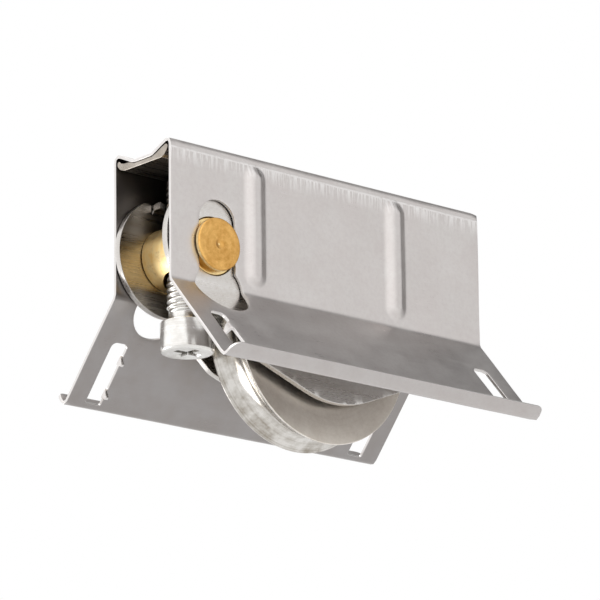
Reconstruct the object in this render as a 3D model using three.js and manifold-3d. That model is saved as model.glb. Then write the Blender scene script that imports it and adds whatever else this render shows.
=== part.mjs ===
// Sliding door roller: a grooved steel wheel on a swing arm inside a folded, winged steel housing.
// Turning the adjusting screw walks the brass barrel nut along it, which swings the arm about the
// pivot pin at the other end and raises or lowers the wheel.
//
// Millimetres. +X runs along the housing, with the adjusting screw at the -X end, and +Z is up.
// The origin is the middle of the flat trough floor on top of the housing.

import * as THREE from 'three';
import { mergeVertices } from 'three/addons/utils/BufferGeometryUtils.js';
import Module from 'manifold-3d';

const wasm = await Module();
wasm.setup();

// ---------------------------------------------------------------- driving dimensions

const LENGTH = 71;                  // housing, saddle and wings along X
const SHEET = 0.55;                 // housing sheet thickness
const WALL_MID = 7.3;               // middle of each wall's sheet, from the centre plane
const WALL_OUT = WALL_MID + SHEET / 2;
const TROUGH_HALF = 2.5;            // half width of the flat trough on top
const RIDGE_SLOPE = 0.45;           // rise of the roof from the trough to each ridge, per mm
const FOLD_Z = -23.1;               // where each wall folds out into a wing
const WING_ANGLE = THREE.MathUtils.degToRad(40.5);  // wing from the vertical
const WING_LENGTH = 21.4;           // fold to lip along the wing
const LIP_ACROSS = 1.6;             // lip, outwards
const LIP_UP = 2.4;                 // lip, upwards

const RIB_X = [-16.9, 15.35];       // pressed ribs on each wall
const RIB_WIDTH = 5.2;
const RIB_HEIGHT = 0.85;
const RIB_TOP = 0.2;
const RIB_BOTTOM = -21.9;
const RIB_DRAFT = 1.1;              // how much smaller a rib's outer face is than its foot, each side
const RIB_WALL = 0.6;               // between a rib's side and the groove behind it

const SLOT_X = -25.3;               // keyhole slot for the barrel nut's necks
const SLOT_RADIUS = 4;
const SLOT_TOP = -7.6;
const KEYHOLE_X = -25;              // wide end of the keyhole, across the fold
const KEYHOLE_RADIUS = 5.4;
const KEYHOLE_DROP = 0.9;           // its centre below the fold, along the sheet

const SCREW_SLOT_X = 30.05;         // fixing slots near the wing ends
const SCREW_SLOT_WIDTH = 3.3;
const SCREW_SLOT_SPAN = [8.1, 20];  // along the wing from the fold
const BARB_PLACES = [11.2, 17.7];   // barbs on the screw-end slots' inner edges, along the wing
const BARB = { foot: 1.7, tip: 0.6, reach: 2.2, thickness: 0.5 };
const LIP_CORNER = { large: 2.8, small: 1 };        // radii of the lips' free corners

const BARREL = { x: -25.7, z: -15.65, radius: 5.5, half: 5.55 };
const JOURNAL = { radius: 5, half: 6.7 };           // what turns in the arm's plates
const NECK_RADIUS = 3.3;            // what runs in the housing's keyhole slots
const HEAD = { radius: 4.6, inner: 7.8, outer: 8.7, bevel: 0.35, dimple: { radius: 1.1, depth: 0.4 } };
const SCREW = {                     // radii of shank, neck and head, and heights from tip to end
  radius: 3.5, neck: 3.2, headRadius: 4.65, tip: -1.6, shoulder: -26.25, head: -27.65, end: -32.95,
};
const SCREW_CLEARANCE = 0.5;        // barrel bore round the screw, on the radius

const AXLE = { x: 1.6, z: -26.15, radius: 2.5 };
const PIVOT = { x: 27, z: -18.15, radius: 2 };
const RIVET_FLARE = 0.7;            // how much the countersunk ends widen, and how deep they go
const RIVET_OUT = 6.8;              // outer faces of the axle and the pivot pin
const PLATE_IN = 5.65;              // swing arm plates, inner and outer faces
const PLATE_OUT = 6.85;
const ARM_TOP = -5.9;
const ARM_CORNERS = [               // circles that the plates' outline wraps round: x, z, radius
  [BARREL.x, BARREL.z, 7], [-13, -29.1, 5], [2, -19.1, 19.5], [20.3, -27.5, 5], [PIVOT.x, PIVOT.z, 8.5],
];
const LOBE = [-25.4, -15.2, 10.45]; // each plate's round end at the barrel nut: x, z, radius
const WEB_SPAN = [-28.6, -12];      // web joining the plates, along X
const WEB_HOLE = { radius: 4.2, half: 0.6 };        // for the screw, open at the web's front edge
const EAR = { radius: 4.2, thickness: 1.3, clearance: 0.3, front: 6, back: 5 };
const SADDLE_BOTTOM = -1.38;        // underside of the saddle plate

const WHEEL = { radius: 19.05, half: 4.1, flange: 0.3, groove: 1.7, hubHalf: 3.2, hubRadius: 9.4 };
const BEARING = { bore: 2.5, outer: 8, half: 2.5, innerLand: 3.9, outerLand: 6.6, pitch: 5.25, ball: 1.4 };
const BALLS = 7;
const CAGE = { inner: 4.7, outer: 5.8, near: 1.55, far: 2, finger: [0.8, 2.6, 0.7] };
const RECESS = { half: 2.6, width: 1.1, depth: 2 };  // cross recess in the screw's head
const GAP = 0.05;                   // between pieces that sit against each other

// ---------------------------------------------------------------- geometry helpers

// A merged, outward-facing copy of a geometry with no zero-area triangles.
function clean(geometry) {
  const bare = new THREE.BufferGeometry();
  bare.setAttribute('position', geometry.getAttribute('position').clone());
  if (geometry.index) bare.setIndex(geometry.index.clone());
  const merged = mergeVertices(bare, 1e-4);
  const source = merged.index.array;
  const index = [];
  for (let i = 0; i < source.length; i += 3) {
    const [a, b, c] = [source[i], source[i + 1], source[i + 2]];
    if (a !== b && b !== c && a !== c) index.push(a, b, c);
  }
  if (signedVolume(merged.getAttribute('position'), index) < 0) index.reverse();
  merged.setIndex(index);
  return merged;
}

function signedVolume(position, index) {
  const corner = [new THREE.Vector3(), new THREE.Vector3(), new THREE.Vector3()];
  let sum = 0;
  for (let i = 0; i < index.length; i += 3) {
    corner.forEach((v, k) => v.fromBufferAttribute(position, index[i + k]));
    sum += corner[0].dot(corner[1].clone().cross(corner[2]));
  }
  return sum;
}

function toSolid(geometry) {
  const ready = clean(geometry);
  return new wasm.Manifold(new wasm.Mesh({
    numProp: 3,
    vertProperties: new Float32Array(ready.getAttribute('position').array),
    triVerts: new Uint32Array(ready.index.array),
  }));
}

function fromSolid(solid) {
  const mesh = solid.getMesh();
  const geometry = new THREE.BufferGeometry();
  geometry.setAttribute('position', new THREE.BufferAttribute(new Float32Array(mesh.vertProperties), 3));
  geometry.setIndex(new THREE.BufferAttribute(new Uint32Array(mesh.triVerts), 1));
  return geometry;
}

const join = (first, ...rest) => rest.reduce((sum, item) => sum.add(item), first);
const cut = (first, ...rest) => rest.reduce((left, item) => left.subtract(item), first);

// Extrudes an outline by depth, centred on the plane through origin that right and up span.
function prism(shape, depth, right, up, origin = new THREE.Vector3(), curveSegments = 12) {
  const geometry = new THREE.ExtrudeGeometry(shape, { depth, bevelEnabled: false, curveSegments });
  geometry.translate(0, 0, -depth / 2);
  const frame = new THREE.Matrix4().makeBasis(right, up, right.clone().cross(up));
  return geometry.applyMatrix4(frame.setPosition(origin));
}

const X = new THREE.Vector3(1, 0, 0);
const Y = new THREE.Vector3(0, 1, 0);
const Z = new THREE.Vector3(0, 0, 1);
const at = (x, y, z) => new THREE.Vector3(x, y, z);
const alongX = (shape, length, x = 0) => toSolid(prism(shape, length, Y, Z, at(x, 0, 0)));
const alongY = (shape, width, y = 0) => toSolid(prism(shape, width, X, Z, at(0, y, 0)));
const alongZ = (shape, height, z = 0) => toSolid(prism(shape, height, X, Y, at(0, 0, z)));
const outline = (points) => new THREE.Shape(points.map(([u, v]) => new THREE.Vector2(u, v)));

function rectangle(left, right, bottom, top) {
  return outline([[left, bottom], [right, bottom], [right, top], [left, top]]);
}

function circle(u, v, radius, segments = 32) {
  const points = [];
  for (let i = 0; i < segments; i++) {
    const angle = (2 * Math.PI * i) / segments;
    points.push([u + radius * Math.cos(angle), v + radius * Math.sin(angle)]);
  }
  return outline(points);
}

// A ring or turned piece: the profile is [radius, height] pairs, turned about an axis along Y.
function turned(profile, segments, x = 0, z = 0) {
  const points = profile.map(([radius, height]) => new THREE.Vector2(radius, height));
  return toSolid(new THREE.LatheGeometry(points, segments).translate(x, 0, z));
}

function turnedUpright(profile, segments, x) {
  const points = profile.map(([radius, height]) => new THREE.Vector2(radius, height));
  return toSolid(new THREE.LatheGeometry(points, segments).rotateX(Math.PI / 2).translate(x, 0, 0));
}

// Rounds the corners of an open path of [u, v, radius] points and gives each point its normal.
function roundedPath(corners, step = Math.PI / 8) {
  const path = [];
  corners.forEach(([u, v, radius], i) => {
    const here = new THREE.Vector2(u, v);
    const before = corners[i - 1] && new THREE.Vector2(corners[i - 1][0], corners[i - 1][1]);
    const after = corners[i + 1] && new THREE.Vector2(corners[i + 1][0], corners[i + 1][1]);
    const into = before ? here.clone().sub(before).normalize() : after.clone().sub(here).normalize();
    const away = after ? after.clone().sub(here).normalize() : into.clone();
    const turn = Math.atan2(into.cross(away), into.dot(away));
    const steps = Math.max(1, Math.round(Math.abs(turn) / step));
    if (!radius || Math.abs(turn) < 1e-6) {
      path.push({ point: here, normal: new THREE.Vector2(-into.y, into.x) });
      return;
    }
    const back = radius * Math.tan(Math.abs(turn) / 2);
    const start = here.clone().addScaledVector(into, -back);
    const side = Math.sign(turn);
    const centre = start.clone().add(new THREE.Vector2(-into.y, into.x).multiplyScalar(radius * side));
    for (let k = 0; k <= steps; k++) {
      const direction = into.clone().rotateAround(new THREE.Vector2(), (turn * k) / steps);
      const normal = new THREE.Vector2(-direction.y, direction.x);
      path.push({ point: centre.clone().addScaledVector(normal, -radius * side), normal });
    }
  });
  return path;
}

// The closed outline of a strip of sheet whose middle follows the path.
function sheetOutline(path, thickness) {
  const offset = (distance) => ({ point, normal }) => point.clone().addScaledVector(normal, distance);
  const one = path.map(offset(thickness / 2));
  const other = path.map(offset(-thickness / 2)).reverse();
  return new THREE.Shape([...one, ...other]);
}

function hull(points) {
  const sorted = [...points].sort((a, b) => a[0] - b[0] || a[1] - b[1]);
  const turnOf = (o, a, b) => (a[0] - o[0]) * (b[1] - o[1]) - (a[1] - o[1]) * (b[0] - o[0]);
  const half = (list) => {
    const chain = [];
    for (const p of list) {
      while (chain.length > 1 && turnOf(chain.at(-2), chain.at(-1), p) <= 1e-9) chain.pop();
      chain.push(p);
    }
    return chain.slice(0, -1);
  };
  return [...half(sorted), ...half(sorted.reverse())];
}

// ---------------------------------------------------------------- housing

const wingDirection = (side) => at(0, side * Math.sin(WING_ANGLE), -Math.cos(WING_ANGLE));
const wingNormal = (side) => at(0, side * Math.cos(WING_ANGLE), Math.sin(WING_ANGLE));
const lipCorner = {
  y: WALL_MID + WING_LENGTH * Math.sin(WING_ANGLE),
  z: FOLD_Z - WING_LENGTH * Math.cos(WING_ANGLE),
};

function housingProfile() {
  const ridgeZ = -SHEET / 2 + RIDGE_SLOPE * (WALL_MID - TROUGH_HALF);
  const half = [
    [TROUGH_HALF, -SHEET / 2, 1],
    [WALL_MID, ridgeZ, 0.8],
    [WALL_MID, FOLD_Z, 1.5],
    [lipCorner.y, lipCorner.z, 0.8],
    [lipCorner.y + LIP_ACROSS, lipCorner.z + LIP_UP, 0],
  ];
  const mirrored = half.map(([y, z, radius]) => [-y, z, radius]).reverse();
  return sheetOutline(roundedPath([...mirrored, ...half]), SHEET);
}

// A long pressed bump: a stadium whose outer face is smaller than its foot, reaching into the wall.
function ribSolid(x, side, { width, height, reach, draft }) {
  const radius = width / 2;
  const shape = new THREE.Shape();
  shape.absarc(0, RIB_TOP - RIB_WIDTH / 2, radius, 0, Math.PI);
  shape.absarc(0, RIB_BOTTOM + RIB_WIDTH / 2, radius, Math.PI, 2 * Math.PI);
  shape.closePath();
  const depth = height + reach;
  const geometry = new THREE.ExtrudeGeometry(shape, { depth, bevelEnabled: false, curveSegments: 4 });
  const position = geometry.getAttribute('position');
  const middle = (RIB_TOP + RIB_BOTTOM) / 2;
  const span = (RIB_TOP - RIB_BOTTOM) / 2;
  for (let i = 0; i < position.count; i++) {
    if (position.getZ(i) < depth / 2) continue;
    position.setX(i, position.getX(i) * (1 - draft / radius));
    position.setY(i, middle + (position.getY(i) - middle) * (1 - draft / span));
  }
  const out = at(0, side, 0);
  const right = side < 0 ? X.clone() : X.clone().negate();
  const frame = new THREE.Matrix4().makeBasis(right, Z, out);
  return toSolid(geometry.applyMatrix4(frame.setPosition(x, side * (WALL_OUT - reach), 0)));
}

function ribbed(plain) {
  const bump = { width: RIB_WIDTH, height: RIB_HEIGHT, reach: SHEET / 2, draft: RIB_DRAFT };
  const groove = {
    width: RIB_WIDTH - 2 * RIB_WALL,
    height: RIB_HEIGHT - SHEET,
    reach: 1.5 * SHEET,
    draft: RIB_DRAFT - SHEET / 3,
  };
  let solid = plain;
  for (const x of RIB_X) {
    for (const side of [-1, 1]) {
      solid = solid.add(ribSolid(x, side, bump)).subtract(ribSolid(x, side, groove));
    }
  }
  return solid;
}

// The keyhole is drawn on the flat sheet: below the fold its heights follow the sloping wing.
function keyholeShape() {
  const foldedZ = (z) => (z > FOLD_Z ? z : FOLD_Z + (z - FOLD_Z) * Math.cos(WING_ANGLE));
  const centreZ = FOLD_Z - KEYHOLE_DROP;
  const meet = Math.asin((SLOT_X + SLOT_RADIUS - KEYHOLE_X) / KEYHOLE_RADIUS);
  const points = [];
  for (let k = 0; k <= 8; k++) {
    const angle = (Math.PI * k) / 8;
    const z = SLOT_TOP - SLOT_RADIUS * (1 - Math.sin(angle));
    points.push([SLOT_X + SLOT_RADIUS * Math.cos(angle), z]);
  }
  const start = Math.PI / 2 + meet + 0.15;
  const end = 2.5 * Math.PI - meet;
  for (let k = 0; k <= 14; k++) {
    const angle = start + ((end - start) * k) / 14;
    const z = centreZ + KEYHOLE_RADIUS * Math.sin(angle);
    points.push([KEYHOLE_X + KEYHOLE_RADIUS * Math.cos(angle), foldedZ(z)]);
  }
  return outline(points);
}

// A fixing slot's outline is in the plane of the wing: along X, and up the wing from the fold.
function screwSlot(end, side) {
  const [top, bottom] = SCREW_SLOT_SPAN;
  const half = SCREW_SLOT_WIDTH / 2;
  const x = end * SCREW_SLOT_X;
  const corner = 1;
  const shape = new THREE.Shape();
  shape.moveTo(x - half, -bottom);
  shape.lineTo(x + half, -bottom);
  shape.absarc(x + half - corner, -top - corner, corner, 0, Math.PI / 2);
  shape.absarc(x - half + corner, -top - corner, corner, Math.PI / 2, Math.PI);
  shape.closePath();
  const up = wingDirection(side).negate();
  return toSolid(prism(shape, 8 * SHEET, X, up, at(0, side * WALL_MID, FOLD_Z)));
}

// A barb is a small tapered tab that stands off the slot's inner edge, into the wing's hollow side.
function barb(end, side, place) {
  const { foot, tip, reach, thickness } = BARB;
  const shape = outline([[-foot / 2, 0], [foot / 2, 0], [tip - foot / 2, reach], [-foot / 2, reach]]);
  const x = end * (SCREW_SLOT_X - (SCREW_SLOT_WIDTH + thickness) / 2);
  const down = wingDirection(side);
  const centre = at(x, side * WALL_MID, FOLD_Z).addScaledVector(down, place);
  return toSolid(prism(shape, thickness, down, wingNormal(side).negate(), centre));
}

// What is cut off a lip's free corner to round it.
function lipCornerCut(end, side, radius) {
  const lipUp = at(0, side * LIP_ACROSS, LIP_UP).normalize();
  const lipLength = Math.hypot(LIP_ACROSS, LIP_UP);
  const tip = (end * LENGTH) / 2;
  const points = [
    [tip - end * radius, lipLength + 1], [tip + end, lipLength + 1], [tip + end, lipLength - radius],
  ];
  for (let k = 0; k <= 5; k++) {
    const angle = (Math.PI * k) / 10;
    const inset = radius * (1 - Math.cos(angle));
    points.push([tip - end * inset, lipLength - radius * (1 - Math.sin(angle))]);
  }
  return toSolid(prism(outline(points), 2, X, lipUp, at(0, side * lipCorner.y, lipCorner.z)));
}

function housing() {
  let solid = ribbed(alongX(housingProfile(), LENGTH));
  solid = solid.subtract(alongY(keyholeShape(), 60));
  for (const side of [-1, 1]) {
    for (const end of [-1, 1]) {
      solid = solid.subtract(screwSlot(end, side));
      const radius = end === side ? LIP_CORNER.large : LIP_CORNER.small;
      solid = solid.subtract(lipCornerCut(end, side, radius));
    }
    for (const place of BARB_PLACES) solid = solid.add(barb(-1, side, place));
  }
  return solid;
}

// ---------------------------------------------------------------- inner bracket and its pivot pin

// The saddle lies under the trough, its edges turned up into the ridges, and takes the screw's
// thrust. Two ears hang from it between the arm's plates and carry the pivot pin.
function saddleBracket() {
  const underTrough = -SHEET - GAP;
  const plate = outline([
    [-4.9, SADDLE_BOTTOM], [4.9, SADDLE_BOTTOM], [6.1, -1], [6.8, -0.35], [6.95, 0.3],
    [6.5, 0.7], [6, 0.2], [5.2, -0.05], [3.6, -0.15], [2.4, underTrough],
    [-2.4, underTrough], [-3.7, -0.15], [-5, 0.45], [-5.9, 0.8],
    [-6.4, 0.7], [-6.55, 0.2], [-6.2, -0.4], [-5.6, -1],
  ]);
  const round = circle(PIVOT.x, PIVOT.z, EAR.radius, 24).getPoints().map(({ x, y }) => [x, y]);
  const earTop = SADDLE_BOTTOM / 2;
  const earOutline = outline(hull([
    [PIVOT.x - EAR.front, earTop], [PIVOT.x + EAR.back, earTop], ...round,
  ]));
  const earMiddle = PLATE_IN - EAR.clearance - EAR.thickness / 2;
  const ears = [-1, 1].map((side) => alongY(earOutline, EAR.thickness, side * earMiddle));
  const pinHole = circle(PIVOT.x, PIVOT.z, PIVOT.radius + GAP);
  return cut(join(alongX(plate, LENGTH), ...ears), alongY(pinHole, 2 * WALL_MID));
}

// A pin with countersunk ends. Grown by a clearance and lengthened, it cuts its own holes.
function pin({ x, z, radius }, clearance = 0, extra = 0) {
  const shank = radius + clearance;
  const flared = shank + RIVET_FLARE;
  const seat = RIVET_OUT - RIVET_FLARE;
  const end = RIVET_OUT + extra;
  return turned([
    [0, -end], [flared + extra, -end], [shank, -seat], [shank, seat], [flared + extra, end], [0, end],
  ], 24, x, z);
}

// ---------------------------------------------------------------- swing arm and adjuster

// The hull of some circles, cut off flat at the arm's top.
function wrapped(circles) {
  const points = circles.flatMap(([x, z, radius]) => circle(x, z, radius, 48).getPoints());
  return outline(hull(points.map(({ x, y }) => [x, Math.min(y, ARM_TOP)])));
}

// Two deep plates joined by a web over the barrel nut.
function swingArm() {
  const thick = PLATE_OUT - PLATE_IN;
  const plates = [-1, 1].flatMap((side) => {
    const middle = (side * (PLATE_IN + PLATE_OUT)) / 2;
    return [wrapped(ARM_CORNERS), wrapped([LOBE])].map((shape) => alongY(shape, thick, middle));
  });
  const webHalf = PLATE_IN + thick / 6;
  const web = alongZ(rectangle(...WEB_SPAN, -webHalf, webHalf), thick, ARM_TOP - thick / 2);
  const screwHole = new THREE.Shape();
  screwHole.absarc(BARREL.x - WEB_HOLE.half, 0, WEB_HOLE.radius, Math.PI / 2, 1.5 * Math.PI);
  screwHole.absarc(BARREL.x + WEB_HOLE.half, 0, WEB_HOLE.radius, -Math.PI / 2, Math.PI / 2);
  screwHole.closePath();
  const width = 2 * WALL_MID;
  return cut(
    join(...plates, web),
    alongZ(screwHole, 4 * thick, ARM_TOP),
    alongY(circle(BARREL.x, BARREL.z, JOURNAL.radius + 2 * GAP), width),
    pin(AXLE, GAP, 1),
    pin(PIVOT, GAP, 1),
  );
}

// Round barrel with a journal, a neck and a bevelled head at each end, bored across for the screw.
function barrelNut() {
  const { radius, inner, outer, bevel, dimple } = HEAD;
  const half = [
    [0, outer - dimple.depth], [dimple.radius, outer], [radius - bevel, outer],
    [radius, outer - bevel], [radius, inner], [NECK_RADIUS, inner],
    [NECK_RADIUS, JOURNAL.half], [JOURNAL.radius, JOURNAL.half],
    [JOURNAL.radius, BARREL.half], [BARREL.radius, BARREL.half],
  ];
  const mirrored = half.map(([across, y]) => [across, -y]);
  const body = turned([...mirrored, ...half.reverse()], 32, BARREL.x, BARREL.z);
  const boreHeight = 2 * BARREL.radius + 2;
  return cut(body, alongZ(circle(BARREL.x, 0, SCREW.radius + SCREW_CLEARANCE), boreHeight, BARREL.z));
}

function adjustingScrew() {
  const { radius, tip, shoulder, neck, head, end, headRadius } = SCREW;
  const body = turnedUpright([
    [0, end], [headRadius - 0.4, end], [headRadius, end + 0.4], [headRadius, head - 0.3],
    [headRadius - 0.3, head], [neck, head], [neck, shoulder], [radius, shoulder],
    [radius, tip - 0.8], [radius - 0.8, tip], [0, tip],
  ], 28, BARREL.x);
  const depth = 2 * RECESS.depth;
  const arm = (halfX, halfY) => rectangle(BARREL.x - halfX, BARREL.x + halfX, -halfY, halfY);
  const across = arm(RECESS.half, RECESS.width / 2);
  const along = arm(RECESS.width / 2, RECESS.half);
  return cut(body, alongZ(across, depth, end), alongZ(along, depth, end));
}

// ---------------------------------------------------------------- wheel and bearing

// Turned wheel with a concave tread between two thin flanges, and dished side faces.
function wheelRim() {
  const { radius, half, flange, groove, hubHalf, hubRadius } = WHEEL;
  const tread = [];
  const width = half - flange;
  for (let k = 0; k <= 6; k++) {
    const across = -1 + k / 3;
    tread.push([radius - groove * (1 - across * across), across * width]);
  }
  const bore = BEARING.outer + GAP;
  return turned([
    [bore, -hubHalf], [hubRadius, -hubHalf], [hubRadius + 1, -half], [radius - 0.15, -half],
    [radius, -half + 0.15], ...tread, [radius, half - 0.15],
    [radius - 0.15, half], [hubRadius + 1, half], [hubRadius, hubHalf], [bore, hubHalf], [bore, -hubHalf],
  ], 48, AXLE.x, AXLE.z);
}

// A bearing race: a ring with a ball groove in the face that looks at the balls.
function race(seat, land, grooveSign) {
  const groove = [];
  const reach = BEARING.ball + 0.06;
  const angle = Math.acos(Math.abs(land - BEARING.pitch) / reach);
  for (let k = 0; k <= 4; k++) {
    const turn = -angle + (2 * angle * k) / 4;
    groove.push([BEARING.pitch + grooveSign * reach * Math.cos(turn), reach * Math.sin(turn)]);
  }
  return turned([
    [seat, -BEARING.half], [land, -BEARING.half], ...groove, [land, BEARING.half],
    [seat, BEARING.half], [seat, -BEARING.half],
  ], 32, AXLE.x, AXLE.z);
}

// A flat ring beside the balls with a finger between each two of them.
function ballCage() {
  const { inner, outer, near, far } = CAGE;
  const ring = turned([
    [inner, near], [outer, near], [outer, far], [inner, far], [inner, near],
  ], 28, AXLE.x, AXLE.z);
  const fingers = [];
  for (let i = 0; i < BALLS; i++) {
    const finger = new THREE.BoxGeometry(...CAGE.finger);
    finger.translate(BEARING.pitch, (near + far - CAGE.finger[1]) / 2, 0);
    finger.rotateY((2 * Math.PI * (i + 0.5)) / BALLS).translate(AXLE.x, 0, AXLE.z);
    fingers.push(toSolid(finger));
  }
  return join(ring, ...fingers);
}

function ball(i) {
  const sphere = new THREE.SphereGeometry(BEARING.ball, 10, 8).translate(BEARING.pitch, 0, 0);
  return toSolid(sphere.rotateY((2 * Math.PI * i) / BALLS).translate(AXLE.x, 0, AXLE.z));
}

function shield(side) {
  const inner = BEARING.innerLand + 0.2;
  const outer = BEARING.outerLand - GAP;
  const faces = [BEARING.half - 0.35, BEARING.half - 0.05].map((y) => y * side);
  return turned([
    [inner, faces[0]], [outer, faces[0]], [outer, faces[1]], [inner, faces[1]], [inner, faces[0]],
  ], 32, AXLE.x, AXLE.z);
}

function spacer(side) {
  const faces = [BEARING.half + GAP, PLATE_IN - GAP].map((y) => y * side);
  const inner = AXLE.radius + GAP;
  const outer = 3.8;
  return turned([
    [inner, faces[0]], [outer, faces[0]], [outer, faces[1]], [inner, faces[1]], [inner, faces[0]],
  ], 24, AXLE.x, AXLE.z);
}

// ---------------------------------------------------------------- assembly

const finishes = {
  stainless: new THREE.MeshStandardMaterial({ color: 0xbdb9b4, roughness: 0.35, metalness: 1 }),
  plate: new THREE.MeshStandardMaterial({ color: 0xcbc8c3, roughness: 0.4, metalness: 1 }),
  turned: new THREE.MeshStandardMaterial({ color: 0xaaa296, roughness: 0.3, metalness: 1 }),
  bright: new THREE.MeshStandardMaterial({ color: 0xe8e6e2, roughness: 0.15, metalness: 1 }),
  brass: new THREE.MeshStandardMaterial({ color: 0xd9a550, roughness: 0.3, metalness: 1 }),
  cage: new THREE.MeshStandardMaterial({ color: 0x8f7a55, roughness: 0.5, metalness: 1 }),
};

const roller = new THREE.Group();

function addPiece(name, solid, finish) {
  const mesh = new THREE.Mesh(fromSolid(solid), finish);
  mesh.name = name;
  roller.add(mesh);
}

addPiece('housing', housing(), finishes.stainless);
addPiece('saddle_bracket', saddleBracket(), finishes.plate);
addPiece('pivot_pin', pin(PIVOT), finishes.bright);
addPiece('swing_arm', swingArm(), finishes.plate);
addPiece('barrel_nut', barrelNut(), finishes.brass);
addPiece('adjusting_screw', adjustingScrew(), finishes.bright);
addPiece('axle_rivet', pin(AXLE), finishes.bright);
addPiece('spacer_front', spacer(-1), finishes.bright);
addPiece('spacer_back', spacer(1), finishes.bright);
addPiece('wheel_rim', wheelRim(), finishes.turned);
addPiece('outer_race', race(BEARING.outer, BEARING.outerLand, 1), finishes.bright);
addPiece('inner_race', race(BEARING.bore + GAP, BEARING.innerLand, -1), finishes.bright);
addPiece('shield_front', shield(-1), finishes.turned);
addPiece('shield_back', shield(1), finishes.turned);
addPiece('ball_cage', ballCage(), finishes.cage);
for (let i = 0; i < BALLS; i++) addPiece(`ball_${i + 1}`, ball(i), finishes.bright);

export default roller;
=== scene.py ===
"""Looks of a sliding door roller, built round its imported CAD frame.

A folded stainless housing holds a swing arm with a grooved wheel. A screw in a brass barrel nut
raises and lowers it. Shapes are worked out in millimetres and stored in metres.
"""

import math

import bmesh
import bpy
import numpy as np
from mathutils import Matrix, Vector
from mathutils.geometry import delaunay_2d_cdt


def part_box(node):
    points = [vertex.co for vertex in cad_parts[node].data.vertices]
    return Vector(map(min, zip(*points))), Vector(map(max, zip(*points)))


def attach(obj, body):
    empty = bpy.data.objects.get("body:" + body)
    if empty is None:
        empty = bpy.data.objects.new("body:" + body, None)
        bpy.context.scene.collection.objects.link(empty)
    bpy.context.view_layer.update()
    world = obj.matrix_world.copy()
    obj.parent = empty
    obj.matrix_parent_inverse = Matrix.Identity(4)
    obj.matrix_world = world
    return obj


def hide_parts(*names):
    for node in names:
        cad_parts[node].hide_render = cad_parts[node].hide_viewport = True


MM = 0.001
NEAR_AXIS = 0.02  # a turned profile stops this far from its axis, in millimetres
GRID_CLEAR = 0.22  # inner points of a sheet keep this far from its cut edges, in millimetres
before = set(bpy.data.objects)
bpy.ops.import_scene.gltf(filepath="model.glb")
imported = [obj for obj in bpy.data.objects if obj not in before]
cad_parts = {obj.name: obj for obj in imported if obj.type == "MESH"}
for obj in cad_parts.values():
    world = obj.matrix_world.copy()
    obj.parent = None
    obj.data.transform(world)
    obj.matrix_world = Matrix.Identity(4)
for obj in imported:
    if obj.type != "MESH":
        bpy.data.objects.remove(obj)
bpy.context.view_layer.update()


# ---------------------------------------------------------------- places taken from the frame


def span(node):
    """Lowest corner, highest corner and middle of a CAD node, in millimetres."""
    low, high = (np.array(corner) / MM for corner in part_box(node))
    return low, high, (low + high) / 2


HOUSING_LOW, HOUSING_HIGH, _ = span("housing")
ARM_LOW, ARM_HIGH, _ = span("swing_arm")
WHEEL_LOW, WHEEL_HIGH, AXLE = span("wheel_rim")
BARREL_LOW, BARREL_HIGH, BARREL = span("barrel_nut")
SCREW_LOW, SCREW_HIGH, SCREW = span("adjusting_screw")
_, PIN_END, PIVOT = span("pivot_pin")

# Folded housing sheet
LENGTH = HOUSING_HIGH[0] - HOUSING_LOW[0]
SHEET = 0.55
CUT_EDGE = 0.07  # rounding of the cut edges
WALL_MID = 7.3
TROUGH_HALF = 2.5
RIDGE_SLOPE = 0.45
TROUGH_BEND, RIDGE_BEND, WING_BEND, LIP_BEND = 1.0, 0.8, 1.5, 0.8  # bend radii
FOLD_Z = -23.1
WING_ANGLE = math.radians(40.5)
WING_LENGTH = 21.4
LIP_ACROSS, LIP_UP = 1.6, 2.4
LIP_CORNERS = {"large": 2.8, "small": 0.9}

RIB_X = (-16.9, 15.35)
RIB_HALF_WIDTH = 2.6
RIB_HEIGHT = 0.85
RIB_SLOPE = 2.1  # width of the rib's sloping side
RIB_TOP, RIB_BOTTOM = 0.2, -21.9

SLOT_X, SLOT_RADIUS, SLOT_TOP = -25.3, 4.0, -7.6
KEYHOLE_X, KEYHOLE_RADIUS, KEYHOLE_DROP = -25.0, 5.4, 0.9
WING_SLOT_X, WING_SLOT_WIDTH = 30.05, 3.3
WING_SLOT_SPAN = (8.1, 20.0)
BARB_PLACES = (11.2, 17.7)  # only the slots at the screw's end have barbs
BARB_FOOT, BARB_REACH, BARB_BEND = 1.9, 1.9, 0.35

# Inner bracket, swing arm and pins
SADDLE_BOTTOM = -1.38
EAR_THICKNESS, EAR_GAP, EAR_RADIUS = 1.3, 0.3, 4.2
PLATE = 1.2  # arm plate thickness
PLATE_MID = ARM_HIGH[1] - PLATE / 2
ARM_BEND = 1.0
ARM_TOP = ARM_HIGH[2]
ARM_CIRCLES = (  # x, z and radius of circles that each plate's outline wraps round
    (BARREL[0], BARREL[2], 7.0), (-13.0, -29.1, 5.0), (2.0, -19.1, 19.5), (20.3, -27.5, 5.0),
    (PIVOT[0], PIVOT[2], 8.5),
)
LOBE_CENTRE, LOBE_RADIUS = (-25.4, -15.2), 10.45
WEB_SPAN = (-28.6, -12.0)
WEB_HOLE_RADIUS, WEB_HOLE_HALF = 4.2, 0.6
RELIEF = 0.24  # width of the slits at the ends of the web's bends
PIN_FLARE = 0.7  # countersunk ends of the pins

# Screw, barrel nut and wheel
SHANK_RADIUS, NECK_RADIUS, PITCH, THREAD_DEPTH = 3.5, 3.2, 1.0, 0.45
HEAD_TOP, NECK_TOP = -27.65, -26.25
BARREL_HALF, JOURNAL_HALF, JOURNAL_RADIUS = 5.55, 6.7, 5.0
BARREL_NECK, BARREL_HEAD, BARREL_HEAD_IN = 3.3, 4.6, 7.8
BORE_RADIUS = 4.0
GROOVE_DEPTH, FLANGE = 1.7, 0.3
WHEEL_BORE, HUB_RADIUS, HUB_HALF, HUB_SLOPE = 8.05, 9.4, 3.2, 1.0

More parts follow.
